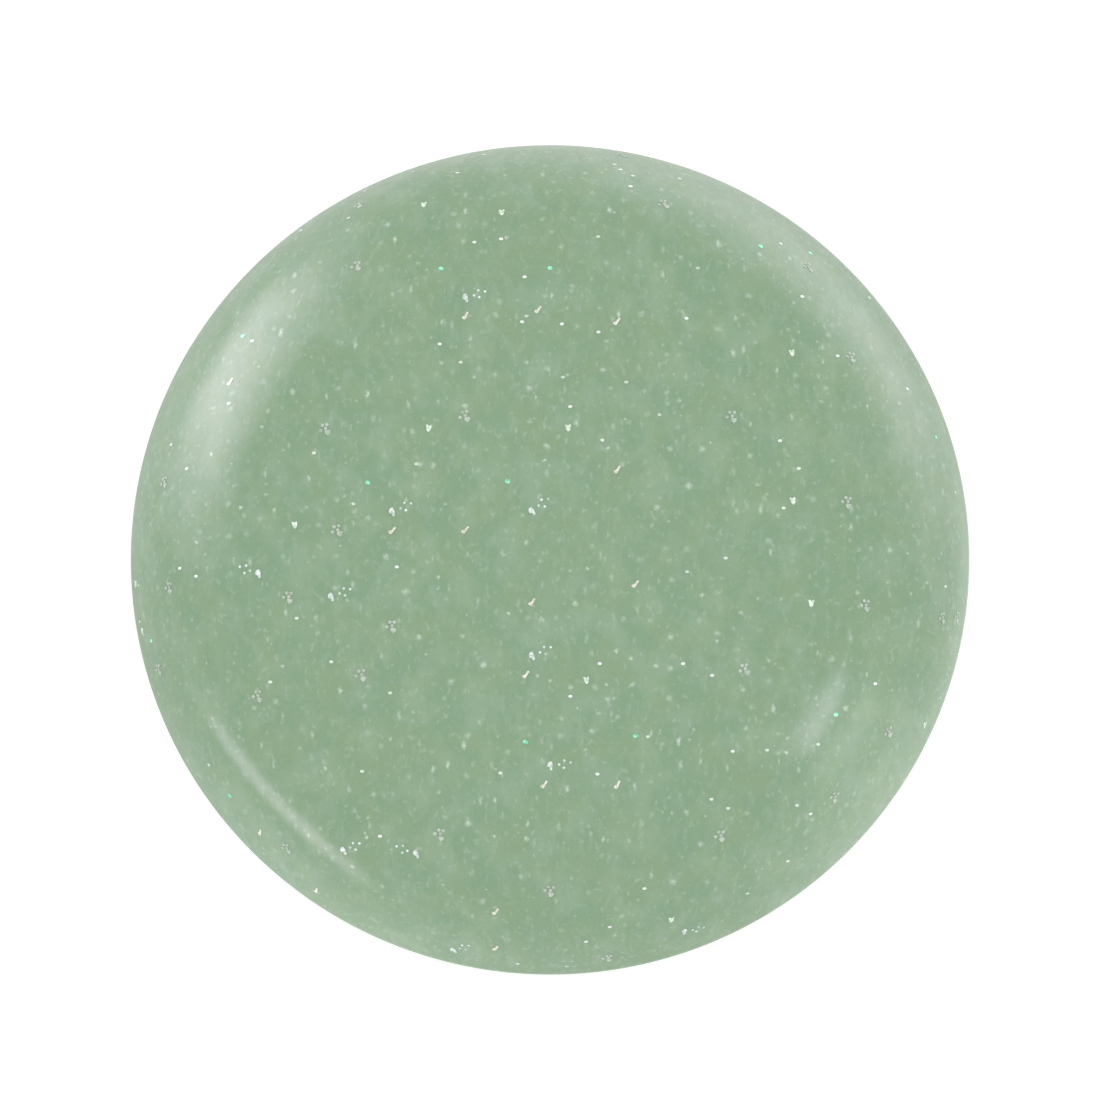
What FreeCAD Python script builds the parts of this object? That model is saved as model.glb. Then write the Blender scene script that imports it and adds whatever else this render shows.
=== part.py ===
"""A shaving soap puck: one round cast body of glycerine soap, with glitter, foil and mica in its skin.

Frame: millimetres, +Z up, origin at the middle of the underside. The soap is a body of revolution about Z.
From the axis outwards and up, its outline is a shallow dish in the underside, a flat land that it rests on,
a small round heel, a short leaning wall, a gently curved flank, a rounder shoulder and a slightly
crowned top.

Every flake is a solid of its own. It lies flat in a pocket that is cut in the soap to the flake's own
shape, and stands a few hundredths of a millimetre proud, as a flake does that set in the skin of a pour.
Nothing moves.
"""
import FreeCAD, Part
import math
import os
import random

import Sketcher

SIZES = {
    # the soap
    "base_diameter": 70.0,
    "puck_height": 13.0,
    "wall_draft": 22.0,
    "heel_radius": 1.0,
    "flank_radius": 20.0,
    "brow_tilt": 58.0,
    "shoulder_radius": 14.0,
    "crown_radius": 230.0,
    "dish_radius": 30.0,
    "dish_depth": 0.5,
    # the flakes: before a flake is turned, its length lies along X and its width along Y
    "white_length": 0.37,
    "white_width": 0.23,
    "green_length": 0.46,
    "green_width": 0.32,
    "rose_length": 0.74,
    "rose_width": 0.34,
    "cream_length": 0.50,
    "cream_width": 0.64,
    "silver_length": 0.50,
    "silver_width": 0.76,
    "crumb_radius": 0.12,
    "mica_radius": 0.14,
    "petal_length": 0.50,
    "petal_width": 0.46,
    "flake_thickness": 0.08,
    "flake_stand": 0.03,
}

# Outlines of the cut flakes, as shares of their length and width.
HEXAGON = ((-0.5, 0.0), (-0.28, -0.5), (0.28, -0.5), (0.5, 0.0), (0.28, 0.5), (-0.28, 0.5))
BOOT = ((-0.5, -0.15), (-0.4, -0.5), (0.5, -0.42), (0.48, 0.06), (-0.08, 0.1), (-0.26, 0.5), (-0.46, 0.4))
HORNED_CHIP = (
    (0.0, -0.5), (0.3, -0.28), (0.5, 0.4), (0.36, 0.5),
    (0.0, 0.33), (-0.36, 0.5), (-0.5, 0.4), (-0.3, -0.28),
)
PETAL = ((0.0, -0.5), (0.42, -0.05), (0.5, 0.36), (0.3, 0.5), (-0.3, 0.5), (-0.5, 0.36), (-0.42, -0.05))
BROKEN_CHIP = (
    (-0.44, -0.1), (0.02, -0.2), (0.12, -0.5), (0.5, -0.4),
    (0.4, 0.15), (0.14, 0.5), (-0.3, 0.42), (-0.5, 0.15),
)

# How each kind is turned on the plan, in degrees: the way it mostly points, and how far a flake may swing
# from it.
TURNS = {
    "white": (0, 8),
    "green": (-15, 8),
    "rose": (58, 8),
    "cream": (0, 12),
    "silver": (0, 20),
    "crumb": (90, 90),
    "rosette": (0, 14),
}

# Places of the flakes that stand out on the top and the shoulder, as x and y seen from above.
ROSE_PLACES = (
    (-7.0, 18.5), (-1.0, 19.0), (5.5, 18.0), (-13.0, 0.5), (-7.0, 0.5), (5.5, 5.5), (7.0, -4.0),
    (-1.5, -5.5), (-2.0, -11.5), (-0.5, -20.5), (5.5, -20.5), (-4.5, -30.5), (-26.5, 13.5), (-24.0, -23.5),
)
GREEN_PLACES = (
    (-9.0, 22.5), (0.0, 22.5), (17.5, 25.0), (-15.0, 4.5), (-3.5, 4.5),
    (-2.0, -17.0), (7.0, -16.5), (-26.5, -20.5), (23.5, -14.5), (-25.5, 17.5),
)
CREAM_PLACES = (
    (-10.5, 28.5), (-4.0, 27.5), (-10.0, 9.0), (1.5, 9.0), (20.0, 15.5),
    (20.0, 3.0), (-21.0, 1.0), (21.5, -5.5), (3.0, -12.0), (10.0, -31.0),
)
SILVER_PLACES = (
    (-7.0, 20.0), (-13.0, 2.0), (-1.5, 2.0), (-24.0, -3.0), (-18.0, -5.0),
    (-1.5, -10.0), (0.0, -19.0), (-11.0, -26.0), (-17.0, -25.5), (-8.0, -33.2),
)
ROSETTE_PLACES = (
    (-16.0, 23.0), (-18.5, 9.0), (-7.0, 10.0), (-32.0, 5.5), (-17.5, 0.5), (25.0, 15.5), (24.5, 3.0),
    (15.0, 10.0), (-31.5, -3.5), (-21.5, -5.0), (-13.0, -7.5), (-15.5, -11.5), (-24.0, -13.0), (26.0, -5.5),
    (16.0, -11.0), (28.0, -15.5), (14.0, -24.5), (23.5, -21.0), (-9.0, -24.5), (9.5, 28.5), (0.0, -29.0),
    (21.5, 23.5),
)

# Places round a laid flake, in its own plane: crumbs beside a silver chip, petal and dots of a mica rosette.
CRUMB_SIDES = 5
CRUMB_OFFSETS = ((0.70, 0.28), (1.15, 0.10), (1.05, 0.70), (1.60, 0.62))
CHIPS_TO_A_MIRRORED_ONE = 4
PETAL_OFFSET = (0.14, -0.34)
DOT_OFFSETS = ((-0.42, -0.04), (-0.18, 0.35), (0.18, 0.36), (0.02, 0.06))
DOT_STRAY = 0.01
ROSETTE_REACH = 0.65

# Flakes scattered at random: white ones over the whole skin, others over the flank, the wall and the dish.
WHITE_COUNT = 120
ROSE_BELOW = 12
GREEN_BELOW = 10
CREAM_BELOW = 10
SILVER_BELOW = 6
ROSETTES_BELOW = 20

# Gaps: between two flakes, between places on the skin, and what stays free above the heel and inside the land.
CLEARANCE = 0.2
SKIN_STEP = 0.05
HEEL_MARGIN = 0.8
DISH_MARGIN = 3.5

SEED = 11
HALVINGS = 60

# The numbers by which a sketch knows the points of a line or an arc, and its own axes.
START, END, CENTRE = 1, 2, 3
ON_X, ON_Y = -1, -2


def make_sheet(doc):
    """The spreadsheet of driving dimensions, one row each: a name, and a number with that name as alias."""
    sheet = doc.addObject("Spreadsheet::Sheet", "sizes")
    for row, (name, value) in enumerate(SIZES.items(), start=1):
        sheet.set(f"A{row}", name)
        sheet.set(f"B{row}", str(value))
        sheet.setAlias(f"B{row}", name)
    doc.recompute()
    return sheet


def new_sketch(body, role):
    """A sketch on one of the body's own origin planes."""
    sketch = body.newObject("Sketcher::SketchObject", body.Name + "_sketch")
    plane = next(feature for feature in body.Origin.OriginFeatures if feature.Role == role)
    sketch.AttachmentSupport = [(plane, "")]
    sketch.MapMode = "FlatFace"
    return sketch


def dimension(sketch, name, expression, *constraint):
    """A named dimension of a sketch, bound to the sheet."""
    index = sketch.addConstraint(Sketcher.Constraint(*constraint))
    sketch.renameConstraint(index, name)
    sketch.setExpression("Constraints." + name, expression)


class Outline:
    """The soap's outline, worked out from the sheet: its tangent points, and any place on its skin.

    A place is a radius, a height, and the tilt of the skin's outward normal from +Z in radians.
    """

    def __init__(self, sheet):
        self.height = sheet.puck_height
        self.draft = math.radians(sheet.wall_draft)
        self.heel = sheet.heel_radius
        self.land_outer = sheet.base_diameter / 2 - sheet.heel_radius
        self.flank_radius = sheet.flank_radius
        self.shoulder = sheet.shoulder_radius
        self.crown = sheet.crown_radius
        self.dish_radius = sheet.dish_radius
        self.dish_depth = sheet.dish_depth
        self.dish_sphere = (self.dish_radius ** 2 + self.dish_depth ** 2) / (2 * self.dish_depth)
        self.wall_tilt = math.pi / 2 - self.draft
        self.brow_tilt = math.radians(sheet.brow_tilt)
        self.crown_tilt = self.find_crown_tilt()

    def find_crown_tilt(self):
        """The tilt at which the shoulder takes over from the crown, so that the arcs meet the wall."""
        low, high = 0.0, self.brow_tilt
        for _ in range(HALVINGS):
            self.crown_tilt = (low + high) / 2
            r, z, _ = self.on_flank(self.wall_tilt)
            out = r - self.land_outer
            up = z - self.heel
            if out * math.cos(self.draft) + up * math.sin(self.draft) - self.heel > 0:
                high = self.crown_tilt
            else:
                low = self.crown_tilt
        return self.crown_tilt

    def on_crown(self, tilt):
        """A place on the crown."""
        return self.crown * math.sin(tilt), self.height - self.crown * (1 - math.cos(tilt)), tilt

    def on_shoulder(self, tilt):
        """A place on the shoulder, which starts where the crown ends."""
        r, z, start = self.on_crown(self.crown_tilt)
        out = self.shoulder * (math.sin(tilt) - math.sin(start))
        down = self.shoulder * (math.cos(start) - math.cos(tilt))
        return r + out, z - down, tilt

    def on_flank(self, tilt):
        """A place on the flank, between the shoulder and the wall."""
        r, z, start = self.on_shoulder(self.brow_tilt)
        out = self.flank_radius * (math.sin(tilt) - math.sin(start))
        down = self.flank_radius * (math.cos(start) - math.cos(tilt))
        return r + out, z - down, tilt

    def on_wall(self, down):
        """A place on the wall, a distance down from the flank."""
        r, z, tilt = self.on_flank(self.wall_tilt)
        return r + down * math.sin(self.draft), z - down * math.cos(self.draft), tilt

    def on_dish(self, r):
        """A place in the dish of the underside, where the normal points down and inwards."""
        lean = math.asin(r / self.dish_sphere)
        return r, self.dish_depth - self.dish_sphere * (1 - math.cos(lean)), math.pi + lean

    def wall_length(self):
        """Length of the wall, from the flank down to the heel."""
        heel_top = self.heel * (1 + math.sin(self.draft))
        return (self.on_flank(self.wall_tilt)[1] - heel_top) / math.cos(self.draft)

    def arc_places(self, place, radius, first, last):
        """Places at even steps along one arc of the outline."""
        steps = max(1, int(radius * (last - first) / SKIN_STEP))
        return [place(first + (last - first) * k / steps) for k in range(steps)]

    def flank(self):
        """Places at even steps down the flank."""
        return self.arc_places(self.on_flank, self.flank_radius, self.brow_tilt, self.wall_tilt)

    def top(self):
        """Places at even steps from the middle of the top down to the wall."""
        return (self.arc_places(self.on_crown, self.crown, 0.0, self.crown_tilt)
                + self.arc_places(self.on_shoulder, self.shoulder, self.crown_tilt, self.brow_tilt)
                + self.flank())

    def wall(self):
        """Places at even steps down the wall, clear of the heel."""
        steps = int((self.wall_length() - HEEL_MARGIN) / SKIN_STEP)
        return [self.on_wall(SKIN_STEP * k) for k in range(steps)]

    def dish(self):
        """Places at even steps across the dish, clear of the land."""
        steps = int((self.dish_radius - DISH_MARGIN) / SKIN_STEP)
        return [self.on_dish(SKIN_STEP * k) for k in range(steps)]

    def under(self, x, y):
        """The place on the top or the wall that lies under a point of the plan, and its bearing."""
        wanted = math.hypot(x, y)
        place = min(self.top() + self.wall(), key=lambda ring: abs(ring[0] - wanted))
        return place, math.atan2(y, x)


def make_soap(doc, outline):
    """The soap before its pockets are cut: the outline turned about Z."""
    body = doc.addObject("PartDesign::Body", "plain_soap")
    sketch = new_sketch(body, "XZ_Plane")

    def point(place):
        return FreeCAD.Vector(place[0], place[1], 0)

    def arc(place, radius, start, end):
        """An arc through a place of the outline, whose centre lies a radius in from it."""
        r, z, tilt = place
        centre = FreeCAD.Vector(r - radius * math.sin(tilt), z - radius * math.cos(tilt), 0)
        return Part.ArcOfCircle(Part.Circle(centre, FreeCAD.Vector(0, 0, 1), radius), start, end)

    quarter = math.pi / 2
    draft = outline.draft
    wall_top = outline.on_flank(outline.wall_tilt)
    dish_half = math.asin(outline.dish_radius / outline.dish_sphere)
    top = (0.0, outline.height)
    roof = (0.0, outline.dish_depth)
    dish, land, heel, wall, flank, shoulder, crown, axis = range(8)
    sketch.addGeometry([
        arc((0.0, outline.dish_depth, 0.0), outline.dish_sphere, quarter - dish_half, quarter),
        Part.LineSegment(point((outline.dish_radius, 0)), point((outline.land_outer, 0))),
        arc((outline.land_outer, 0.0, math.pi), outline.heel, -quarter, draft),
        Part.LineSegment(point(outline.on_wall(outline.wall_length())), point(wall_top)),
        arc(wall_top, outline.flank_radius, draft, quarter - outline.brow_tilt),
        arc(outline.on_shoulder(outline.brow_tilt), outline.shoulder,
            quarter - outline.brow_tilt, quarter - outline.crown_tilt),
        arc((0.0, outline.height, 0.0), outline.crown, quarter - outline.crown_tilt, quarter),
        Part.LineSegment(point(top), point(roof)),
    ], False)

    for constraint in (
        ("Coincident", dish, START, land, START),
        ("Tangent", land, END, heel, START),
        ("Tangent", heel, END, wall, START),
        ("Tangent", wall, END, flank, START),
        ("Tangent", flank, END, shoulder, START),
        ("Tangent", shoulder, END, crown, START),
        ("Coincident", crown, END, axis, START),
        ("Coincident", axis, END, dish, END),
        ("PointOnObject", dish, END, ON_Y),
        ("PointOnObject", dish, CENTRE, ON_Y),
        ("PointOnObject", crown, END, ON_Y),
        ("PointOnObject", crown, CENTRE, ON_Y),
        ("PointOnObject", land, START, ON_X),
        ("Horizontal", land),
    ):
        sketch.addConstraint(Sketcher.Constraint(*constraint))
    dimension(sketch, "dish_radius", "sizes.dish_radius",
              "DistanceX", ON_X, START, land, START, outline.dish_radius)
    dimension(sketch, "dish_depth", "sizes.dish_depth",
              "DistanceY", ON_X, START, dish, END, outline.dish_depth)
    dimension(sketch, "land_radius", "sizes.base_diameter / 2 - sizes.heel_radius",
              "DistanceX", ON_X, START, land, END, outline.land_outer)
    dimension(sketch, "heel_radius", "sizes.heel_radius", "Radius", heel, outline.heel)
    dimension(sketch, "wall_slope", "90 + sizes.wall_draft", "Angle", wall, math.pi / 2 + draft)
    dimension(sketch, "flank_radius", "sizes.flank_radius", "Radius", flank, outline.flank_radius)
    dimension(sketch, "flank_sweep", "90 - sizes.wall_draft - sizes.brow_tilt",
              "Angle", flank, outline.wall_tilt - outline.brow_tilt)
    dimension(sketch, "shoulder_radius", "sizes.shoulder_radius", "Radius", shoulder, outline.shoulder)
    dimension(sketch, "crown_radius", "sizes.crown_radius", "Radius", crown, outline.crown)
    dimension(sketch, "height", "sizes.puck_height",
              "DistanceY", ON_X, START, crown, END, outline.height)

    turned = body.newObject("PartDesign::Revolution", "turned_soap")
    turned.Profile = sketch
    turned.ReferenceAxis = (sketch, ["V_Axis"])
    turned.Angle = 360
    doc.recompute()
    return body


def cut_flake(doc, sheet, name, corners):
    """One flake cut from film, centred on Z: a straight-sided outline padded to the film's thickness."""
    body = doc.addObject("PartDesign::Body", name + "_flake")
    sketch = new_sketch(body, "XY_Plane")
    length = sheet.get(name + "_length")
    width = sheet.get(name + "_width")
    places = [FreeCAD.Vector(along * length, across * width, 0) for along, across in corners]
    count = len(corners)
    for k in range(count):
        sketch.addGeometry(Part.LineSegment(places[k], places[(k + 1) % count]), False)
    for k in range(count):
        sketch.addConstraint(Sketcher.Constraint("Coincident", k, END, (k + 1) % count, START))
    for k, (along, across) in enumerate(corners):
        dimension(sketch, f"corner_{k}_x", f"sizes.{name}_length * {along}",
                  "DistanceX", ON_X, START, k, START, places[k].x)
        dimension(sketch, f"corner_{k}_y", f"sizes.{name}_width * {across}",
                  "DistanceY", ON_X, START, k, START, places[k].y)
    pad = body.newObject("PartDesign::Pad", name + "_pad")
    pad.Profile = sketch
    pad.setExpression("Length", "sizes.flake_thickness")
    return body


def round_flake(doc, name, sides=None):
    """One small flake with equal sides, centred on Z, or a round one when no sides are given."""
    if sides:
        flake = doc.addObject("Part::Prism", name + "_flake")
        flake.Polygon = sides
        flake.setExpression("Circumradius", f"sizes.{name}_radius")
    else:
        flake = doc.addObject("Part::Cylinder", name + "_flake")
        flake.setExpression("Radius", f"sizes.{name}_radius")
    flake.setExpression("Height", "sizes.flake_thickness")
    return flake


def lay_flat(sheet, place, angle, turn):
    """The placement of a flake on the skin: turned in its own plane, and then tipped to lie flat."""
    r, z, tilt = place
    level = FreeCAD.Vector(-math.sin(angle), math.cos(angle), 0)
    tip = FreeCAD.Rotation(level, math.degrees(tilt))
    normal = FreeCAD.Vector(
        math.sin(tilt) * math.cos(angle), math.sin(tilt) * math.sin(angle), math.cos(tilt))
    spin = FreeCAD.Rotation(FreeCAD.Vector(0, 0, 1), turn)
    foot = FreeCAD.Vector(r * math.cos(angle), r * math.sin(angle), z)
    return FreeCAD.Placement(foot - normal * (sheet.flake_thickness - sheet.flake_stand), tip * spin)


class Scatter:
    """Lays flakes on the skin and keeps every two of them apart."""

    def __init__(self, sheet, outline):
        self.sheet = sheet
        self.outline = outline
        self.random = random.Random(SEED)
        self.taken = []

    def is_clear(self, centre, reach):
        """Whether a flake of this reach stays clear of all that are laid."""
        return all((centre - other).Length > reach + far + CLEARANCE for other, far in self.taken)

    def claim(self, placement, reach):
        """Keep the room that a laid flake takes."""
        self.taken.append((placement.Base, reach))
        return placement

    def turn(self, kind):
        """How far one flake of a kind is turned in its own plane."""
        direction, swing = TURNS[kind]
        return direction + self.random.uniform(-swing, swing)

    def chosen(self, kind, places, reach):
        """Flakes at places given on the plan."""
        laid = []
        for x, y in places:
            place, angle = self.outline.under(x, y)
            placement = lay_flat(self.sheet, place, angle, self.turn(kind))
            if not self.is_clear(placement.Base, reach):
                raise RuntimeError(f"the flake at {x}, {y} has no room")
            laid.append(self.claim(placement, reach))
        return laid

    def scattered(self, kind, rings, count, reach):
        """Flakes at random, as many to each area of the skin."""
        weights = [ring[0] for ring in rings]
        laid = []
        while len(laid) < count:
            place = self.random.choices(rings, weights)[0]
            angle = self.random.uniform(-math.pi, math.pi)
            placement = lay_flat(self.sheet, place, angle, self.turn(kind))
            if self.is_clear(placement.Base, reach):
                laid.append(self.claim(placement, reach))
        return laid


def beside(scatter, rings, placement, offset, reach):
    """A small flake beside a laid one, if there is room: offset in its plane, dropped onto the skin."""
    spot = placement.multVec(FreeCAD.Vector(offset[0], offset[1], 0))
    out = math.hypot(spot.x, spot.y)
    place = min(rings, key=lambda ring: math.hypot(ring[0] - out, ring[1] - spot.z))
    laid = lay_flat(scatter.sheet, place, math.atan2(spot.y, spot.x), scatter.turn("crumb"))
    return [scatter.claim(laid, reach)] if scatter.is_clear(laid.Base, reach - CLEARANCE) else []


def group(doc, label, *kinds):
    """One sub-part: many flakes as separate solids. Each kind is one flake and where its copies lie."""
    compound = doc.addObject("Part::Compound", label)
    for flake, placements in kinds:
        copies = doc.addObject("App::Link", flake.Name + "_copies")
        copies.LinkedObject = flake
        copies.ShowElement = False
        copies.ElementCount = len(placements)
        copies.PlacementList = placements
        compound.Links = compound.Links + [copies]
    return compound


def make_flakes(doc, sheet, outline):
    """All the groups of flakes, the most striking kinds first, so that they get their places."""
    scatter = Scatter(sheet, outline)
    below = outline.flank() + outline.wall() + outline.dish()
    everywhere = outline.top() + outline.wall() + outline.dish()

    def laid(kind, places, count, reach):
        return scatter.chosen(kind, places, reach) + scatter.scattered(kind, below, count, reach)

    silver = laid("silver", SILVER_PLACES, SILVER_BELOW, sheet.silver_width / 2)
    crumbs = []
    for number, chip in enumerate(silver, start=1):
        side = -1 if number % CHIPS_TO_A_MIRRORED_ONE == 0 else 1
        for along, across in CRUMB_OFFSETS:
            crumbs += beside(scatter, everywhere, chip, (side * along, across), sheet.crumb_radius)
    rose = laid("rose", ROSE_PLACES, ROSE_BELOW, sheet.rose_length / 2)
    green = laid("green", GREEN_PLACES, GREEN_BELOW, sheet.green_length / 2)
    cream = laid("cream", CREAM_PLACES, CREAM_BELOW, sheet.cream_width / 2)

    petals = []
    dots = []
    for centre in laid("rosette", ROSETTE_PLACES, ROSETTES_BELOW, ROSETTE_REACH):
        petals.append(FreeCAD.Placement(centre.multVec(FreeCAD.Vector(*PETAL_OFFSET, 0)), centre.Rotation))
        for along, across in DOT_OFFSETS:
            stray_x = scatter.random.uniform(-DOT_STRAY, DOT_STRAY)
            stray_y = scatter.random.uniform(-DOT_STRAY, DOT_STRAY)
            offset = FreeCAD.Vector(along + stray_x, across + stray_y, 0)
            dots.append(FreeCAD.Placement(centre.multVec(offset), centre.Rotation))
    white = scatter.scattered("white", everywhere, WHITE_COUNT, sheet.white_length / 2)

    petal = cut_flake(doc, sheet, "petal", PETAL)
    dot = round_flake(doc, "mica")
    return [
        group(doc, "white_glitter_flakes", (cut_flake(doc, sheet, "white", HEXAGON), white)),
        group(doc, "green_glitter_flakes", (cut_flake(doc, sheet, "green", HEXAGON), green)),
        group(doc, "rose_slivers", (cut_flake(doc, sheet, "rose", BOOT), rose)),
        group(doc, "cream_chips", (cut_flake(doc, sheet, "cream", HORNED_CHIP), cream)),
        group(doc, "silver_chips", (cut_flake(doc, sheet, "silver", BROKEN_CHIP), silver)),
        group(doc, "silver_crumbs", (round_flake(doc, "crumb", CRUMB_SIDES), crumbs)),
        group(doc, "mica_rosettes", (petal, petals), (dot, dots)),
    ]


def cut_pockets(doc, soap, groups):
    """The finished soap: the plain one less the room of every flake."""
    flakes = doc.addObject("Part::Compound", "all_flakes")
    flakes.Links = groups
    finished = doc.addObject("Part::Cut", "soap_body")
    finished.Base = soap
    finished.Tool = flakes
    finished.Refine = False
    return finished


def check(doc, parts):
    """Stop unless every object was worked out and every sub-part is a valid shape."""
    for thing in doc.Objects:
        if "Invalid" in thing.State or "Error" in thing.State:
            raise RuntimeError(f"{thing.Label} was not worked out: {thing.State}")
    for part in parts:
        if part.Shape.isNull() or not part.Shape.isValid() or not part.Shape.Solids:
            raise RuntimeError(f"{part.Label} has no valid shape")


def main():
    doc = FreeCAD.newDocument("shaving_soap_puck")
    sheet = make_sheet(doc)
    outline = Outline(sheet)
    soap = make_soap(doc, outline)
    groups = make_flakes(doc, sheet, outline)
    doc.recompute()
    parts = [cut_pockets(doc, soap, groups)] + groups
    doc.recompute()
    check(doc, parts)
    os.makedirs("parts", exist_ok=True)
    for part in parts:
        part.Shape.exportStep(f"parts/{part.Label}.step")
        print(part.Label, len(part.Shape.Solids), "solids,", round(part.Shape.Volume, 3), "mm3")


main()
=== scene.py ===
"""The shaving soap puck in Blender: a glossy, cloudy green cast soap with glitter in its skin.

The CAD flakes keep their shapes and get better materials. The soap's CAD solid is replaced by a
finer mesh of the same outline. Everything is in metres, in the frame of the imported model: +Z up,
the middle of the underside at the origin.
"""

import math

import bpy
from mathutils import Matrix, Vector, noise


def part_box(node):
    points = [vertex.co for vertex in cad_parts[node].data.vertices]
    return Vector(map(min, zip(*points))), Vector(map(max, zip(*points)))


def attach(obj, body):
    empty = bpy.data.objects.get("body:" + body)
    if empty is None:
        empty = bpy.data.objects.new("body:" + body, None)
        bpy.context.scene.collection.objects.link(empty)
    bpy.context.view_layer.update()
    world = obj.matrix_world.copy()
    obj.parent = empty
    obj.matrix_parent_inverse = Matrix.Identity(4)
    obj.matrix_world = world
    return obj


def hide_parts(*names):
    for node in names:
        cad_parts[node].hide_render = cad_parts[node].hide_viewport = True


MM = 0.001

# The soap's outline. Its width and height come from the frame.
WALL_DRAFT = math.radians(22)
HEEL_RADIUS = 1 * MM
FLANK_RADIUS = 20 * MM
BROW_TILT = math.radians(58)
SHOULDER_RADIUS = 14 * MM
CROWN_RADIUS = 230 * MM
DISH_RADIUS = 30 * MM
DISH_DEPTH = 0.5 * MM
HALVINGS = 50
ROUND_STEPS = 448
OUTLINE_STEP = 0.4 * MM
ARC_STEPS_AT_LEAST = 8
HEEL_STEPS = 12

# The faint unevenness of the pour: how long and how deep its waves are, and the heights from
# which they start and over which they are full.
POUR_WAVE = 9 * MM
POUR_RIPPLE = 0.012 * MM
CALM_BELOW = 3 * MM
CALM_FADE = 4 * MM

# The camera: a long lens, nearly straight above.
CAMERA_ELEVATION = math.radians(81.4)
CAMERA_LENS = 300
SENSOR_WIDTH = 36
PUCK_SHARE_OF_FRAME = 0.7622
AIM = Vector((0, 0.6 * MM, 1 * MM))

# The room: white, and a little darker low down. Its light falls off between two heights on a unit
# sphere.
ROOM_LIGHT = 1.0
LOW_ROOM_LIGHT = 0.88
LIGHT_FALLS_FROM = -0.2
LIGHT_FALLS_TO = -0.9

# The white cards round the puck, the nearest first: each hangs a gap behind the one before it, so
# that of two that overlap, the brighter is in front. A card's line is a few directions seen from
# the puck, each an azimuth from +X, an elevation above the floor, and the card's half width
# there, in degrees. Its fade is the share of it, along and across, over which its light fades
# out.
ROSY_WHITE = (1.07, 0.965, 1.09, 1)
PLAIN_WHITE = (0.98, 1.01, 0.97, 1)
CARDS = {
    "window_card": dict(
        light=7.0, tint=ROSY_WHITE, fade=(1.0, 0.88),
        line=((114, 13.5, 43.5), (130, 12.8, 43.2), (146, 10, 42), (161, 6, 40.5), (177, 3, 39)),
    ),
    "strip_card": dict(
        light=4.9, tint=ROSY_WHITE, fade=(0.7, 0.9),
        line=(
            (-168, -14, 4), (-160, -6, 6), (-153, 0, 8), (-145, 3, 9),
            (-137, 3, 9), (-130, 1, 8.5), (-123, -3, 6.5), (-115, -8, 4),
        ),
    ),
    "side_card": dict(
        light=5.6, tint=ROSY_WHITE, fade=(0.8, 1.0),
        line=((-13, 42, 8), (-19, 44, 14), (-27, 46, 16), (-36, 47, 10)),
    ),
    "low_card": dict(
        light=3.25, tint=ROSY_WHITE, fade=(1.0, 1.0),
        line=(
            (-8, -2, 34), (12, -5, 38), (30, -6, 42),
            (50, -9, 42), (80, -16, 44), (106, -18, 44),
        ),
    ),
    "side_glow_card": dict(
        light=2.9, tint=PLAIN_WHITE, fade=(0.9, 1.0),
        line=((-12, 14, 20), (-20, 17, 26), (-29, 20, 26), (-42, 22, 18)),
    ),
    "corner_card": dict(
        light=2.1, tint=PLAIN_WHITE, fade=(0.9, 0.8),
        line=((-4, -10, 50), (-22, -10, 52), (-40, -10, 52), (-64, -12, 50)),
    ),
    "skirt_card": dict(
        light=1.34, tint=PLAIN_WHITE, fade=(0.8, 0.8),
        line=((104, -14, 35), (130, -16, 37), (154, -21, 36), (176, -19, 30)),
    ),
    "left_low_card": dict(
        light=1.6, tint=PLAIN_WHITE, fade=(0.9, 0.8),
        line=((-170, -36, 30), (-150, -35, 34), (-128, -33, 37), (-104, -34, 34), (-78, -39, 26)),
    ),
    "rim_card": dict(
        light=1.45, tint=PLAIN_WHITE, fade=(0.7, 0.9),
        line=((-72, -50, 20), (-40, -50, 24), (-10, -48, 24), (16, -52, 22), (36, -56, 18)),
    ),
}

# The first card's distance from the puck's rim and the gap from each card to the next, how many
# steps a card has from stop to stop and across, and where the rim is.
CARD_DISTANCE = 0.8
CARD_GAP = 0.02
CARD_STEPS = 8
CARD_ROWS = 8
RIM_RADIUS = 30 * MM
RIM_HEIGHT = 8.5 * MM

FLOOR_WIDTH = 6.0
FLOOR_WHITE = 0.8
FLOOR_GLOW = 0.45


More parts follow.
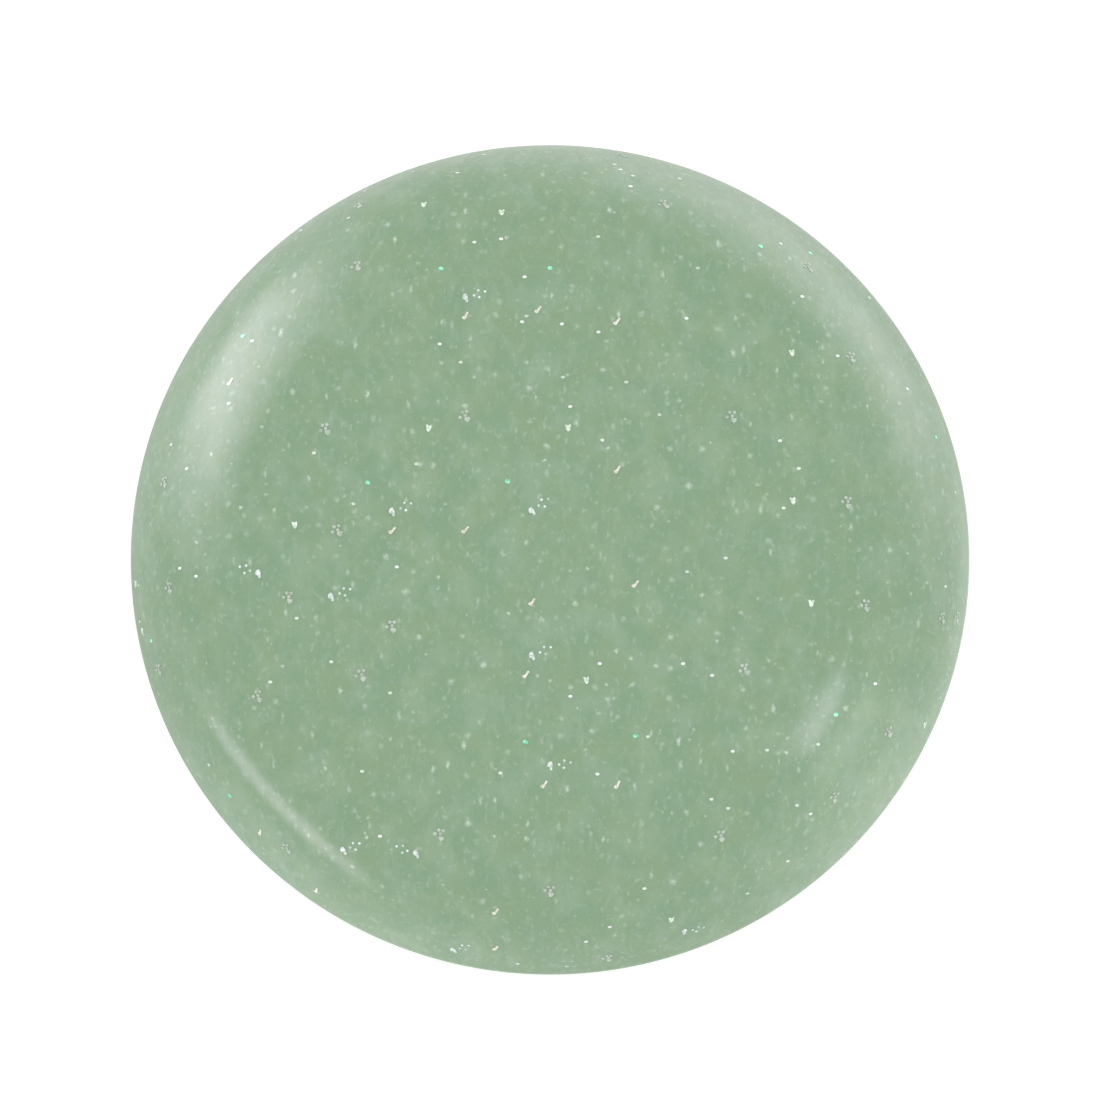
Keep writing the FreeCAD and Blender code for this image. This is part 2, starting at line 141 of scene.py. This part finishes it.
def soap_outline(half_width, height):
    """The soap's (radius, height) points, from the middle of its top to that of its underside."""
    land_outer = half_width - HEEL_RADIUS
    wall_tilt = math.pi / 2 - WALL_DRAFT

    def arc_end(start, radius, tilt_from, tilt_to):
        """Where an arc from the start ends, if its tilt grows from one to the other."""
        r = start[0] + radius * (math.sin(tilt_to) - math.sin(tilt_from))
        z = start[1] + radius * (math.cos(tilt_to) - math.cos(tilt_from))
        return r, z

    def on_heel(tilt):
        """The point of the heel whose skin leans that much."""
        return land_outer + HEEL_RADIUS * math.sin(tilt), HEEL_RADIUS * (1 + math.cos(tilt))

    def chain(crown_tilt):
        """The crown, shoulder and flank arcs, each as start, radius, and first and last tilt."""
        crown = ((0, height), CROWN_RADIUS, 0, crown_tilt)
        shoulder = (arc_end(*crown), SHOULDER_RADIUS, crown_tilt, BROW_TILT)
        flank = (arc_end(*shoulder), FLANK_RADIUS, BROW_TILT, wall_tilt)
        return crown, shoulder, flank

    # The crown runs out to the tilt from which the shoulder and flank end on the wall's line.
    low, high = 0.0, BROW_TILT
    for _ in range(HALVINGS):
        crown_tilt = (low + high) / 2
        r, z = arc_end(*chain(crown_tilt)[-1])
        out = r - land_outer
        up = z - HEEL_RADIUS
        if out * math.cos(WALL_DRAFT) + up * math.sin(WALL_DRAFT) - HEEL_RADIUS > 0:
            high = crown_tilt
        else:
            low = crown_tilt

    points = []
    for start, radius, tilt_from, tilt_to in chain(crown_tilt):
        sweep = tilt_to - tilt_from
        steps = max(ARC_STEPS_AT_LEAST, math.ceil(radius * sweep / OUTLINE_STEP))
        for step in range(steps):
            points.append(arc_end(start, radius, tilt_from, tilt_from + sweep * step / steps))
    wall_top = arc_end(*chain(crown_tilt)[-1])
    heel_top = on_heel(wall_tilt)
    wall_steps = math.ceil((wall_top[1] - heel_top[1]) / OUTLINE_STEP)
    for step in range(wall_steps):
        points.append(tuple(Vector(wall_top).lerp(Vector(heel_top), step / wall_steps)))
    for step in range(HEEL_STEPS + 1):
        tilt = wall_tilt + (math.pi - wall_tilt) * step / HEEL_STEPS
        points.append(on_heel(tilt))
    land_steps = math.ceil((land_outer - DISH_RADIUS) / OUTLINE_STEP)
    for step in range(1, land_steps):
        points.append((land_outer + (DISH_RADIUS - land_outer) * step / land_steps, 0))
    dish_sphere = (DISH_RADIUS ** 2 + DISH_DEPTH ** 2) / (2 * DISH_DEPTH)
    dish_steps = math.ceil(DISH_RADIUS / OUTLINE_STEP)
    for step in range(dish_steps + 1):
        r = DISH_RADIUS * (1 - step / dish_steps)
        points.append((r, DISH_DEPTH - dish_sphere + math.sqrt(dish_sphere ** 2 - r ** 2)))
    return points


def make_soap():
    """The soap as one closed mesh: its outline turned round Z, with a pour's faint unevenness."""
    low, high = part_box("soap_body")
    outline = soap_outline((high.x - low.x) / 2, high.z)
    vertices = [(0, 0, outline[0][1])]
    for r, z in outline[1:-1]:
        for step in range(ROUND_STEPS):
            turn = 2 * math.pi * step / ROUND_STEPS
            x = r * math.cos(turn)
            y = r * math.sin(turn)
            # The swell is never above 0, so the soap stays inside the CAD box.
            swell = noise.noise(Vector((x, y, z)) / POUR_WAVE) - 1
            free = min(1, max(0, (z - CALM_BELOW) / CALM_FADE))
            vertices.append((x, y, z + POUR_RIPPLE * swell * free))
    vertices.append((0, 0, outline[-1][1]))
    last = len(vertices) - 1
    ring_count = len(outline) - 2

    def corner(ring, step):
        return 1 + ring * ROUND_STEPS + step % ROUND_STEPS

    faces = []
    for step in range(ROUND_STEPS):
        faces.append((0, corner(0, step), corner(0, step + 1)))
        faces.append((last, corner(ring_count - 1, step + 1), corner(ring_count - 1, step)))
        for ring in range(ring_count - 1):
            faces.append((
                corner(ring, step), corner(ring + 1, step),
                corner(ring + 1, step + 1), corner(ring, step + 1),
            ))
    mesh = bpy.data.meshes.new("soap")
    mesh.from_pydata(vertices, [], faces)
    mesh.update()
    mesh.polygons.foreach_set("use_smooth", [True] * len(mesh.polygons))
    soap = bpy.data.objects.new("soap", mesh)
    bpy.context.collection.objects.link(soap)
    return soap


class Material:
    """A new material and its node tree, with short calls for the nodes that this script uses."""

    def __init__(self, name):
        self.material = bpy.data.materials.new(name)
        self.material.use_nodes = True
        self.nodes = self.material.node_tree.nodes
        self.links = self.material.node_tree.links
        self.shader = next(node for node in self.nodes if node.type == "BSDF_PRINCIPLED")
        self.output = next(node for node in self.nodes if node.type == "OUTPUT_MATERIAL")

    def put(self, socket, value):
        """Links an output to a socket, or sets a plain value on it."""
        if isinstance(value, bpy.types.NodeSocket):
            self.links.new(value, socket)
        else:
            socket.default_value = value

    def set(self, **values):
        """Sets sockets of the shader by name, with _ for a space."""
        for name, value in values.items():
            self.put(self.shader.inputs[name.replace("_", " ")], value)

    def place(self):
        """A point's place on the object, in metres."""
        return self.nodes.new("ShaderNodeTexCoord").outputs["Object"]

    def stretched(self, place, cell):
        """The place counted in cells of that size along X, Y and Z."""
        node = self.nodes.new("ShaderNodeVectorMath")
        node.operation = "DIVIDE"
        self.put(node.inputs[0], place)
        node.inputs[1].default_value = cell
        return node.outputs[0]

    def moved(self, place, offset):
        """The place shifted by that offset."""
        node = self.nodes.new("ShaderNodeVectorMath")
        node.operation = "ADD"
        self.put(node.inputs[0], place)
        self.put(node.inputs[1], offset)
        return node.outputs[0]

    def math(self, operation, a, b=0.0):
        """That operation on two numbers, each an output or a plain value."""
        node = self.nodes.new("ShaderNodeMath")
        node.operation = operation
        self.put(node.inputs[0], a)
        self.put(node.inputs[1], b)
        return node.outputs[0]

    def ramp(self, value, low, high, out_low=0.0, out_high=1.0):
        """A soft step: out_low below low, out_high above high."""
        node = self.nodes.new("ShaderNodeMapRange")
        node.interpolation_type = "SMOOTHSTEP"
        self.put(node.inputs["Value"], value)
        self.put(node.inputs["From Min"], low)
        self.put(node.inputs["From Max"], high)
        self.put(node.inputs["To Min"], out_low)
        self.put(node.inputs["To Max"], out_high)
        return node.outputs["Result"]

    def mix(self, factor, a, b):
        """Colour a where the factor is 0 and b where it is 1."""
        node = self.nodes.new("ShaderNodeMix")
        node.data_type = "RGBA"
        colours = [socket for socket in node.inputs if socket.type == "RGBA"]
        self.put(node.inputs["Factor"], factor)
        self.put(colours[0], a)
        self.put(colours[1], b)
        return next(socket for socket in node.outputs if socket.type == "RGBA")

    def between(self, share, low, high):
        """The number that share of the way from low to high."""
        node = self.math("MULTIPLY_ADD", share, high - low)
        node.node.inputs[2].default_value = low
        return node

    def shifted(self, place, counted, reach):
        """The place pushed about by colour noise, by up to about half that reach."""
        texture = self.nodes.new("ShaderNodeTexNoise")
        texture.inputs["Scale"].default_value = 1.0
        self.put(texture.inputs["Vector"], counted)
        node = self.nodes.new("ShaderNodeVectorMath")
        node.operation = "MULTIPLY_ADD"
        self.put(node.inputs[0], texture.outputs["Color"])
        node.inputs[1].default_value = (reach,) * 3
        self.put(node.inputs[2], place)
        return node.outputs[0]

    def noise(self, place, detail=2.0):
        """Smooth noise, about 0.5 on average, at a place counted in cells."""
        node = self.nodes.new("ShaderNodeTexNoise")
        node.inputs["Scale"].default_value = 1.0
        node.inputs["Detail"].default_value = detail
        self.put(node.inputs["Vector"], place)
        return node.outputs[0]

    def cells(self, place):
        """The distance in cells to the nearest scattered point, and the point's random colour."""
        node = self.nodes.new("ShaderNodeTexVoronoi")
        node.inputs["Scale"].default_value = 1.0
        self.put(node.inputs["Vector"], place)
        return node.outputs["Distance"], node.outputs["Color"]

    def axes(self, vector):
        """The X, Y and Z of a vector."""
        node = self.nodes.new("ShaderNodeSeparateXYZ")
        self.put(node.inputs[0], vector)
        return node.outputs

    def split(self, colour):
        """The three numbers of a colour."""
        node = self.nodes.new("ShaderNodeSeparateColor")
        self.put(node.inputs[0], colour)
        return node.outputs

    def bump(self, height, distance):
        """A normal bent by a height between 0 and 1, over that distance."""
        node = self.nodes.new("ShaderNodeBump")
        node.inputs["Distance"].default_value = distance
        self.put(node.inputs["Height"], height)
        return node.outputs[0]


# The soap's two greens, the milk of its haze and the pearl of its specks.
GREEN_YELLOW = (0.265, 0.395, 0.238, 1)
GREEN_BLUE = (0.246, 0.387, 0.246, 1)
PEARL = (0.80, 0.92, 0.80, 1)
MILK = (0.50, 0.62, 0.50, 1)

# How the greens drift: the size of the drifts, and the noise values between which one green turns
# into the other.
DRIFT_CELL = 3.2 * MM
DRIFT_RANGE = (0.35, 0.65)

# The noise values between which a roughness or a flake's colour turns from one end to the other.
WANDER_RANGE = (0.3, 0.7)

# The milky haze in the soap: the size of its clouds along X, Y and Z in millimetres, how fine
# their edges are, the noise values between which a cloud grows, and how milky it gets.
HAZES = (
    dict(cell=(2.4, 3.1, 3.1), detail=2.0, low=0.40, high=0.75, most=0.17),
    dict(cell=(0.7, 1.3, 1.3), detail=2.0, low=0.48, high=0.80, most=0.18),
    dict(cell=(0.45, 0.62, 0.62), detail=1.0, low=0.58, high=0.82, most=0.36),
    dict(cell=(0.18, 0.22, 0.22), detail=2.0, low=0.30, high=0.70, most=0.05),
)

# Three kinds of pearl specks, in millimetres. Each lies in some cells of a grid: the cell's size
# and its stretch along X, Y and Z, where the grid starts, the radii and strengths between which
# the specks vary, and the share of cells without one.
SPECKS = (
    dict(
        cell=1.3, stretch=(1, 1, 1), start=(0, 0, 0),
        radii=(0.26, 0.50), strengths=(0.20, 0.60), empty=0.3,
    ),
    dict(
        cell=1.1, stretch=(1, 2, 2), start=(11, 5, 3),
        radii=(0.20, 0.34), strengths=(0.24, 0.70), empty=0.3,
    ),
    dict(
        cell=1.8, stretch=(1, 1, 1), start=(7, 13, 1),
        radii=(0.18, 0.32), strengths=(0.36, 0.90), empty=0.25,
    ),
)

# How the specks are shaped: their outline is pulled about over that distance, they fade out from
# the middle by that power, and most are weak.
RAGGED_CELL = 0.3 * MM
RAGGED_REACH = 0.4 * MM
SPECK_SOFTNESS = 1.5
WEAK_SPECKS_MORE_OFTEN = 2.5

# The specks are weaker low on the flank: the heights between which they grow, and how weak they
# are at the foot.
SPECKS_GROW = (3 * MM, 11 * MM)
SPECKS_AT_THE_FOOT = 0.4

# The soap's glossy skin: how rough it is, and a very faint ripple.
SKIN_ROUGHNESS = (0.11, 0.16)
SKIN_ROUGHNESS_CELL = 0.5 * MM
SKIN_RIPPLE_CELL = 2.5 * MM
SKIN_RIPPLE = 0.01 * MM


def specks(material, place, cell, stretch, start, radii, strengths, empty):
    """How much the soft specks of one kind show, from 0 to 1."""
    grid = material.moved(place, tuple(side * MM for side in start))
    counted = material.stretched(grid, tuple(cell * MM * share for share in stretch))
    distance, colour = material.cells(counted)
    size_pick, shown_pick, strength_pick = material.split(colour)[:3]
    size = material.between(size_pick, radii[0] / cell, radii[1] / cell)
    inside = material.math("POWER", material.ramp(distance, size, 0.0), SPECK_SOFTNESS)
    shown = material.math("GREATER_THAN", shown_pick, empty)
    strength_share = material.math("POWER", strength_pick, WEAK_SPECKS_MORE_OFTEN)
    strength = material.between(strength_share, *strengths)
    return material.math("MULTIPLY", material.math("MULTIPLY", inside, shown), strength)


def soap_material():
    """Cloudy green glycerine soap: drifting greens, milky haze, pearl specks, a glossy skin."""
    soap = Material("cast_soap")
    place = soap.place()
    drift = soap.noise(soap.stretched(place, (DRIFT_CELL,) * 3), detail=3.0)
    colour = soap.mix(soap.ramp(drift, *DRIFT_RANGE), GREEN_YELLOW, GREEN_BLUE)
    for haze in HAZES:
        counted = soap.stretched(place, tuple(side * MM for side in haze["cell"]))
        cloud = soap.noise(counted, haze["detail"])
        milky = soap.ramp(cloud, haze["low"], haze["high"], 0.0, haze["most"])
        colour = soap.mix(milky, colour, MILK)
    ragged = soap.shifted(place, soap.stretched(place, (RAGGED_CELL,) * 3), RAGGED_REACH)
    grown = soap.ramp(soap.axes(place)["Z"], *SPECKS_GROW, SPECKS_AT_THE_FOOT, 1.0)
    for kind in SPECKS:
        shown = soap.math("MULTIPLY", specks(soap, ragged, **kind), grown)
        colour = soap.mix(shown, colour, PEARL)
    gloss = soap.noise(soap.stretched(place, (SKIN_ROUGHNESS_CELL,) * 3), detail=1.0)
    ripple = soap.noise(soap.stretched(place, (SKIN_RIPPLE_CELL,) * 3), detail=2.0)
    soap.set(
        Base_Color=colour,
        Roughness=soap.ramp(gloss, *WANDER_RANGE, *SKIN_ROUGHNESS),
        IOR=1.45,
        Subsurface_Weight=0.35,
        Subsurface_Radius=(0.8, 1.0, 0.7),
        Subsurface_Scale=1.2 * MM,
        Normal=soap.bump(ripple, SKIN_RIPPLE),
    )
    return soap.material


# A flake's fine grain, and how much rougher its roughest places are.
FLAKE_GRAIN_CELL = 0.15 * MM
FLAKE_GRAIN = 0.01 * MM
FLAKE_ROUGHEST = 1.6


def flake_material(name, dark, light, metallic, roughness, cell):
    """Foil, pearl or glitter: a glossy flake whose colour wanders a little. For the glitter and
    foil kinds, its light colour also holds a painted glint.
    """
    flake = Material(name)
    place = flake.place()
    wander = flake.noise(flake.stretched(place, (cell * MM,) * 3), detail=1.0)
    grain = flake.noise(flake.stretched(place, (FLAKE_GRAIN_CELL,) * 3))
    flake.set(
        Base_Color=flake.mix(flake.ramp(wander, *WANDER_RANGE), dark, light),
        Metallic=metallic,
        Roughness=flake.ramp(wander, *WANDER_RANGE, roughness, roughness * FLAKE_ROUGHEST),
        IOR=1.5,
        Normal=flake.bump(grain, FLAKE_GRAIN),
    )
    return flake.material


# Each kind of flake: the two colours between which it wanders, how metallic and rough it is, and
# over how many millimetres its colour wanders.
# The white, green and silver glitter and foil flakes are light and mostly matte. Their colour is
# partly their own tint and partly a painted glint, which stands in for the light that such flakes
# would mirror.
FLAKE_LOOKS = {
    "white_glitter_flakes": dict(
        dark=(0.58, 0.72, 0.58, 1), light=(0.95, 1.0, 0.94, 1),
        metallic=0.2, roughness=0.25, cell=1.5,
    ),
    "green_glitter_flakes": dict(
        dark=(0.20, 0.70, 0.44, 1), light=(0.42, 0.96, 0.66, 1),
        metallic=0.2, roughness=0.25, cell=0.3,
    ),
    "rose_slivers": dict(
        dark=(0.66, 0.66, 0.55, 1), light=(0.90, 0.89, 0.79, 1),
        metallic=0.2, roughness=0.3, cell=0.3,
    ),
    "cream_chips": dict(
        dark=(0.52, 0.70, 0.52, 1), light=(0.88, 0.98, 0.84, 1),
        metallic=0.1, roughness=0.35, cell=0.35,
    ),
    "silver_chips": dict(
        dark=(0.50, 0.61, 0.54, 1), light=(0.84, 0.93, 0.87, 1),
        metallic=0.2, roughness=0.3, cell=0.25,
    ),
    "silver_crumbs": dict(
        dark=(0.52, 0.66, 0.58, 1), light=(0.92, 1.0, 0.96, 1),
        metallic=0.2, roughness=0.3, cell=0.4,
    ),
    "mica_rosettes": dict(
        dark=(0.40, 0.50, 0.39, 1), light=(0.57, 0.65, 0.55, 1),
        metallic=0.0, roughness=0.4, cell=0.4,
    ),
}


def card_material(light, tint, fade):
    """A lit card that fades out to nothing at its edges."""
    card = Material("card_light")
    card.nodes.remove(card.shader)
    along_and_across = card.axes(card.nodes.new("ShaderNodeUVMap").outputs[0])
    fades = []
    for share, edge in zip(along_and_across, fade):
        from_middle = card.math("ABSOLUTE", card.between(share, -1.0, 1.0))
        fades.append(card.ramp(card.math("SUBTRACT", 1.0, from_middle), 0.0, edge))
    emission = card.nodes.new("ShaderNodeEmission")
    emission.inputs["Color"].default_value = tint
    emission.inputs["Strength"].default_value = light
    clear = card.nodes.new("ShaderNodeBsdfTransparent")
    both = card.nodes.new("ShaderNodeMixShader")
    card.put(both.inputs[0], card.math("MULTIPLY", fades[0], fades[1]))
    card.put(both.inputs[1], clear.outputs[0])
    card.put(both.inputs[2], emission.outputs[0])
    card.put(card.output.inputs["Surface"], both.outputs[0])
    return card.material


def direction(azimuth, elevation):
    """The unit vector that points that way, in degrees."""
    a = math.radians(azimuth)
    e = math.radians(elevation)
    return Vector((math.cos(a) * math.cos(e), math.sin(a) * math.cos(e), math.sin(e)))


def smooth_line(stops, steps):
    """Points along a Catmull-Rom curve through the stops."""
    points = []
    ends = [stops[0], *stops, stops[-1]]
    for index in range(len(stops) - 1):
        a, b, c, d = (Vector(stop) for stop in ends[index:index + 4])
        square = 2 * a - 5 * b + 4 * c - d
        cube = 3 * b - a - 3 * c + d
        for step in range(steps):
            t = step / steps
            points.append(0.5 * (2 * b + (c - a) * t + square * t ** 2 + cube * t ** 3))
    points.append(Vector(stops[-1]))
    return points


def make_card(name, distance, light, tint, fade, line):
    """A curved card that faces the puck, as wide as its line says."""
    stations = smooth_line(line, CARD_STEPS)
    vertices = []
    uvs = []
    for index, (azimuth, elevation, half) in enumerate(stations):
        before = stations[max(0, index - 1)]
        after = stations[min(len(stations) - 1, index + 1)]
        narrowing = math.cos(math.radians(elevation))
        along = Vector(((after.x - before.x) * narrowing, after.y - before.y)).normalized()
        for row in range(CARD_ROWS + 1):
            side = (2 * row / CARD_ROWS - 1) * half
            turn = azimuth - side * along.y / narrowing
            rim = direction(turn, 0) * RIM_RADIUS + Vector((0, 0, RIM_HEIGHT))
            vertices.append(rim + direction(turn, elevation + side * along.x) * distance)
            uvs.append((index / (len(stations) - 1), row / CARD_ROWS))
    faces = []
    for index in range(len(stations) - 1):
        for row in range(CARD_ROWS):
            first = index * (CARD_ROWS + 1) + row
            faces.append((first, first + 1, first + CARD_ROWS + 2, first + CARD_ROWS + 1))
    mesh = bpy.data.meshes.new(name)
    mesh.from_pydata(vertices, [], faces)
    layer = mesh.uv_layers.new(name="across")
    for loop in mesh.loops:
        layer.data[loop.index].uv = uvs[loop.vertex_index]
    mesh.materials.append(card_material(light, tint, fade))
    card = bpy.data.objects.new(name, mesh)
    bpy.context.collection.objects.link(card)
    card.visible_camera = False
    card.visible_shadow = False
    card.visible_diffuse = False


def make_floor():
    """A plain white floor that glows a little, so that the puck stands on even white.

    It lights nothing and shows in no reflection: the puck's flank sees only the room and cards.
    """
    half = FLOOR_WIDTH / 2
    corners = [(-half, -half, 0), (half, -half, 0), (half, half, 0), (-half, half, 0)]
    mesh = bpy.data.meshes.new("floor")
    mesh.from_pydata(corners, [], [(0, 1, 2, 3)])
    look = Material("white_floor")
    look.set(
        Base_Color=(FLOOR_WHITE, FLOOR_WHITE, FLOOR_WHITE, 1),
        Roughness=0.9,
        Specular_IOR_Level=0.0,
        Emission_Color=(1, 1, 1, 1),
        Emission_Strength=FLOOR_GLOW,
    )
    mesh.materials.append(look.material)
    floor = bpy.data.objects.new("floor", mesh)
    bpy.context.collection.objects.link(floor)
    floor.visible_glossy = False
    floor.visible_diffuse = False


def make_room():
    """White light from all round, a little weaker low down."""
    world = bpy.data.worlds.new("white_room")
    world.use_nodes = True
    nodes = world.node_tree.nodes
    links = world.node_tree.links
    background = next(node for node in nodes if node.type == "BACKGROUND")
    background.inputs["Color"].default_value = (1, 1, 1, 1)
    place = nodes.new("ShaderNodeTexCoord")
    parts = nodes.new("ShaderNodeSeparateXYZ")
    links.new(place.outputs["Generated"], parts.inputs[0])
    fall = nodes.new("ShaderNodeMapRange")
    fall.inputs["From Min"].default_value = LIGHT_FALLS_TO
    fall.inputs["From Max"].default_value = LIGHT_FALLS_FROM
    fall.inputs["To Min"].default_value = LOW_ROOM_LIGHT
    fall.inputs["To Max"].default_value = ROOM_LIGHT
    links.new(parts.outputs["Z"], fall.inputs["Value"])
    links.new(fall.outputs[0], background.inputs["Strength"])
    bpy.context.scene.world = world
    bpy.context.scene.view_settings.view_transform = "Standard"


def make_camera():
    """A long lens that looks down at the puck, tilted a few degrees towards -Y."""
    low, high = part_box("soap_body")
    data = bpy.data.cameras.new("camera")
    data.lens = CAMERA_LENS
    data.sensor_width = SENSOR_WIDTH
    camera = bpy.data.objects.new("camera", data)
    bpy.context.collection.objects.link(camera)
    back = Vector((0, -math.cos(CAMERA_ELEVATION), math.sin(CAMERA_ELEVATION)))
    distance = (high.x - low.x) * CAMERA_LENS / (SENSOR_WIDTH * PUCK_SHARE_OF_FRAME)
    camera.location = AIM + back * distance
    camera.rotation_mode = "QUATERNION"
    camera.rotation_quaternion = back.to_track_quat("Z", "Y")
    data.clip_start = 0.01
    data.clip_end = 10
    bpy.context.scene.camera = camera


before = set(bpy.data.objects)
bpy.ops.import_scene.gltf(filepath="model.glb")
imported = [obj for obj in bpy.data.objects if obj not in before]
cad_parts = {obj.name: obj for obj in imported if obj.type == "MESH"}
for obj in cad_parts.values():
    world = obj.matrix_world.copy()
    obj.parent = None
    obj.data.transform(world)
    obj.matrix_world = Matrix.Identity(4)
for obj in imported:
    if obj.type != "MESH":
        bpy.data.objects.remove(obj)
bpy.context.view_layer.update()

soap = make_soap()
soap.data.materials.append(soap_material())
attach(soap, "root")
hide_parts("soap_body")

for node, look in FLAKE_LOOKS.items():
    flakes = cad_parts[node]
    material = flake_material(node + "_look", **look)
    for slot in flakes.material_slots:
        slot.material = material

make_floor()
make_room()
for gaps, (name, card) in enumerate(CARDS.items()):
    make_card(name, CARD_DISTANCE + gaps * CARD_GAP, **card)
make_camera()
